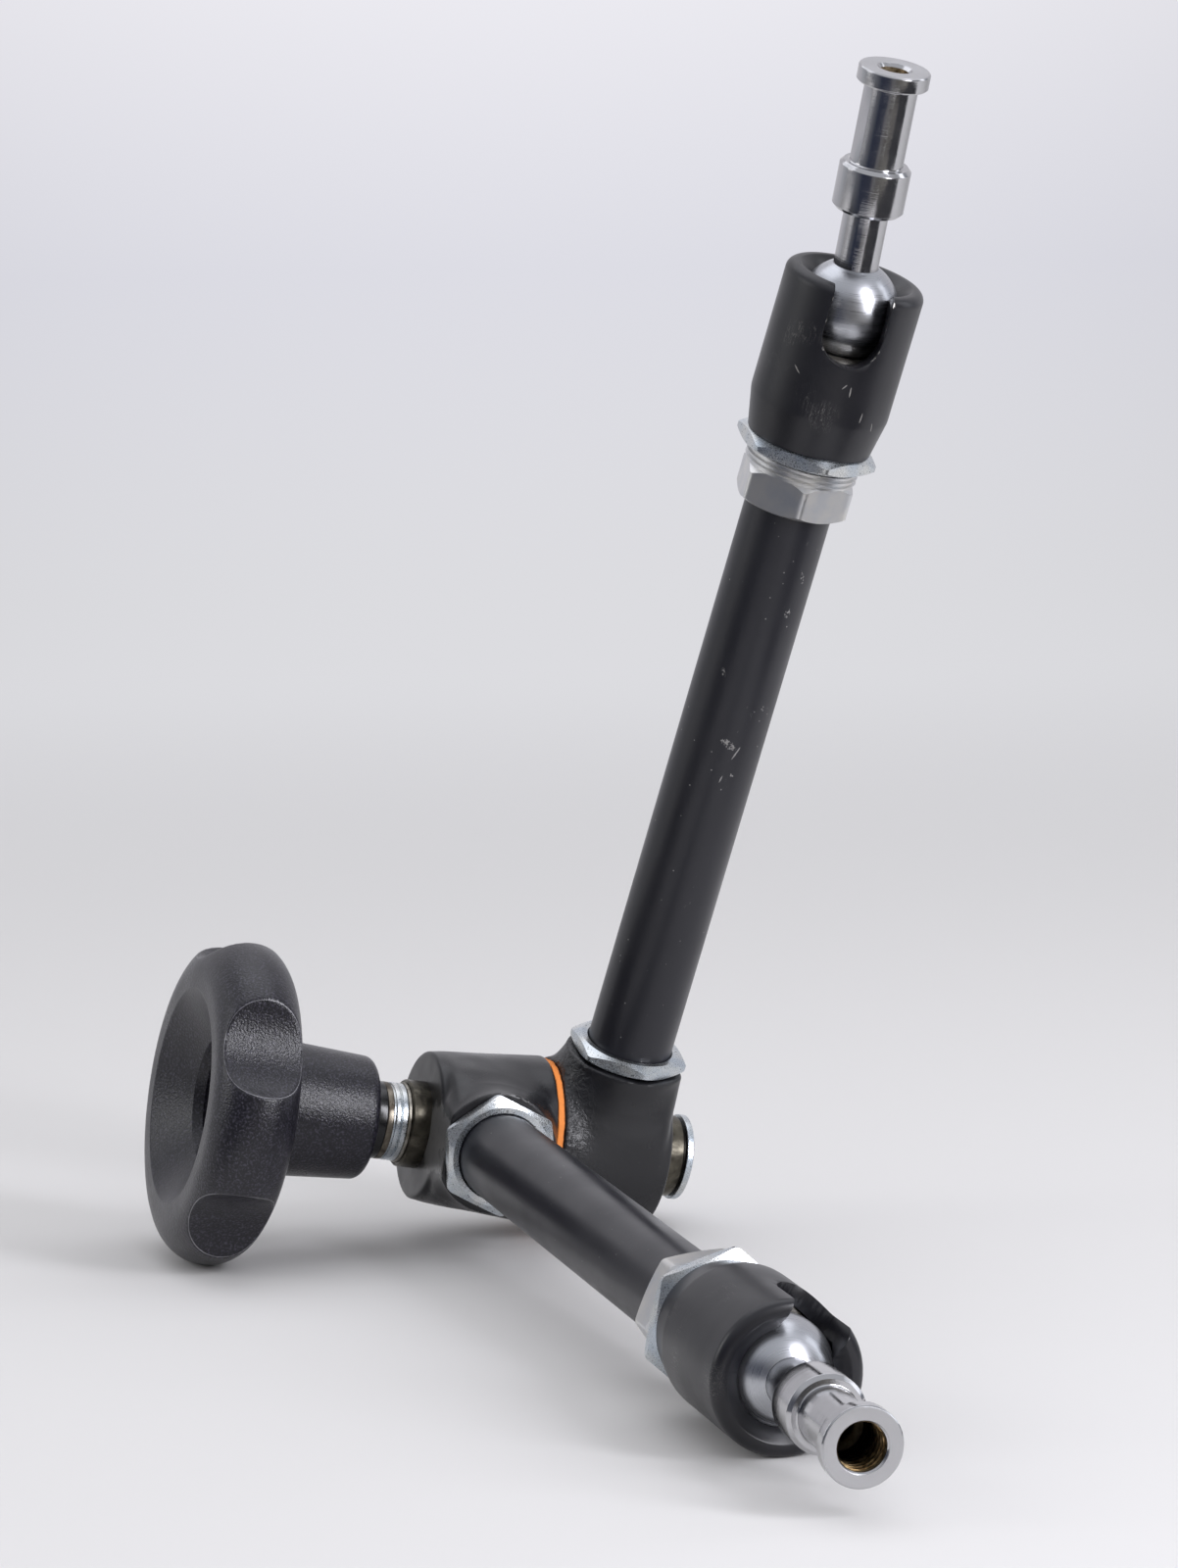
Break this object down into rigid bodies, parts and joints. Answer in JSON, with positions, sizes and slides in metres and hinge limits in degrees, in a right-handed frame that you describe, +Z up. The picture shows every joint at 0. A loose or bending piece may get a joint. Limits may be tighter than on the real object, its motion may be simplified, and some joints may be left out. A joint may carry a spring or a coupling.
{
  "type": "articulating friction arm",
  "caption": "Articulating friction arm: two black tubes on an elbow clamped by a lobed hand knob, each ending in a slotted ball socket with a chromed flanged spigot.",
  "frame": {"origin": "centre of the underside of the bounding box of the arm as it stands on the floor", "axes": "+Z up, +X to the viewer's right and -Y towards the viewer, as in the picture"},
  "size_m": [0.1836, 0.2886, 0.2719],
  "materials": {
    "knob_plastic": "fine-grained black moulded plastic",
    "housing_coat": "smooth black coating on a casting",
    "tube_coat": "satin black coating",
    "socket_coat": "satin black coating, scratched",
    "zinc_steel": "bright zinc plating",
    "worn_steel": "worn, brownish steel",
    "dark_steel": "dark greasy steel",
    "black_spacer": "smooth black",
    "orange_lining": "orange friction lining",
    "turned_aluminium": "turned and milled",
    "bright_steel": "fine brushed",
    "chromed_brass": "mirror chrome plating over brass, bare brass inside the holes"
  },
  "bodies": {
    "lower_arm": {"lower_housing": "housing_coat", "lower_elbow_nut": "zinc_steel", "lower_tube": "tube_coat", "lower_fitting": "turned_aluminium", "lower_lock_nut": "zinc_steel", "lower_socket": "socket_coat"},
    "upper_arm": {"upper_housing": "housing_coat", "friction_disc": "orange_lining", "upper_elbow_nut": "zinc_steel", "upper_tube": "tube_coat", "upper_fitting": "turned_aluminium", "upper_lock_nut": "zinc_steel", "upper_socket": "socket_coat"},
    "ring_stack": {"left_plunger": "dark_steel", "thin_ring": "worn_steel", "grooved_ring": "zinc_steel", "worn_washer": "worn_steel", "black_spacer": "black_spacer", "knob_shim": "worn_steel"},
    "hand_knob": {"knob": "knob_plastic", "knob_insert": "dark_steel"},
    "bolt": {"tie_bolt": "zinc_steel", "end_washer": "dark_steel", "right_plunger": "dark_steel"},
    "lower_rod": {"lower_push_rod": "bright_steel"},
    "upper_rod": {"upper_push_rod": "bright_steel"},
    "lower_cup": {"lower_seat": "bright_steel"},
    "upper_cup": {"upper_seat": "bright_steel"},
    "lower_joint_ball": {"lower_ball": "bright_steel"},
    "upper_joint_ball": {"upper_ball": "bright_steel"},
    "lower_stud": {"lower_spigot": "chromed_brass"},
    "upper_stud": {"upper_spigot": "chromed_brass"}
  },
  "joints": [
    {"name": "elbow", "type": "hinge", "parent": "lower_arm", "child": "upper_arm", "pos_m": [-0.0003, 0.1193, 0.02247], "axis": [0.9323, 0.304, -0.1959], "continuous": true},
    {"name": "ring_slide", "type": "slide", "parent": "lower_arm", "child": "ring_stack", "axis": [-0.9323, -0.304, 0.1959], "range_m": [0, 0.0013]},
    {"name": "knob_turn", "type": "hinge", "parent": "ring_stack", "child": "hand_knob", "pos_m": [-0.0003, 0.1193, 0.02247], "axis": [-0.9323, -0.304, 0.1959], "range_deg": [0, 720]},
    {"name": "bolt_slide", "type": "slide", "parent": "lower_arm", "child": "bolt", "axis": [0.9323, 0.304, -0.1959], "range_m": [0, 0.0013]},
    {"name": "lower_rod_slide", "type": "slide", "parent": "lower_arm", "child": "lower_rod", "axis": [-0.3011, 0.9525, 0.0454], "range_m": [0, 0.00065]},
    {"name": "upper_rod_slide", "type": "slide", "parent": "upper_arm", "child": "upper_rod", "axis": [-0.2756, 0.2463, -0.9292], "range_m": [0, 0.00065]},
    {"name": "lower_pan", "type": "hinge", "parent": "lower_arm", "child": "lower_cup", "pos_m": [0.04838, -0.08841, 0.01605], "axis": [0.3011, -0.9525, -0.0454], "range_deg": [-360, 360]},
    {"name": "lower_tilt", "type": "hinge", "parent": "lower_cup", "child": "lower_joint_ball", "pos_m": [0.04838, -0.08841, 0.01605], "axis": [-0.8119, -0.281, 0.5117], "range_deg": [-30, 90]},
    {"name": "lower_spin", "type": "hinge", "parent": "lower_joint_ball", "child": "lower_stud", "pos_m": [0.04838, -0.08841, 0.01605], "axis": [0.2497, -0.9677, -0.0353], "continuous": true},
    {"name": "upper_pan", "type": "hinge", "parent": "upper_arm", "child": "upper_cup", "pos_m": [0.07373, 0.0719, 0.21697], "axis": [0.2756, -0.2463, 0.9292], "range_deg": [-360, 360]},
    {"name": "upper_tilt", "type": "hinge", "parent": "upper_cup", "child": "upper_joint_ball", "pos_m": [0.07373, 0.0719, 0.21697], "axis": [0.958, 0.1496, -0.2445], "range_deg": [-30, 87]},
    {"name": "upper_spin", "type": "hinge", "parent": "upper_joint_ball", "child": "upper_stud", "pos_m": [0.07373, 0.0719, 0.21697], "axis": [0.185, -0.2943, 0.9376], "continuous": true}
  ],
  "couplings": [
    {"joint": "ring_slide", "follows": "knob_turn", "m_per_rad": 0.000099472},
    {"joint": "bolt_slide", "follows": "knob_turn", "m_per_rad": 0.000099472},
    {"joint": "lower_rod_slide", "follows": "knob_turn", "m_per_rad": 0.000049736},
    {"joint": "upper_rod_slide", "follows": "knob_turn", "m_per_rad": 0.000049736}
  ]
}
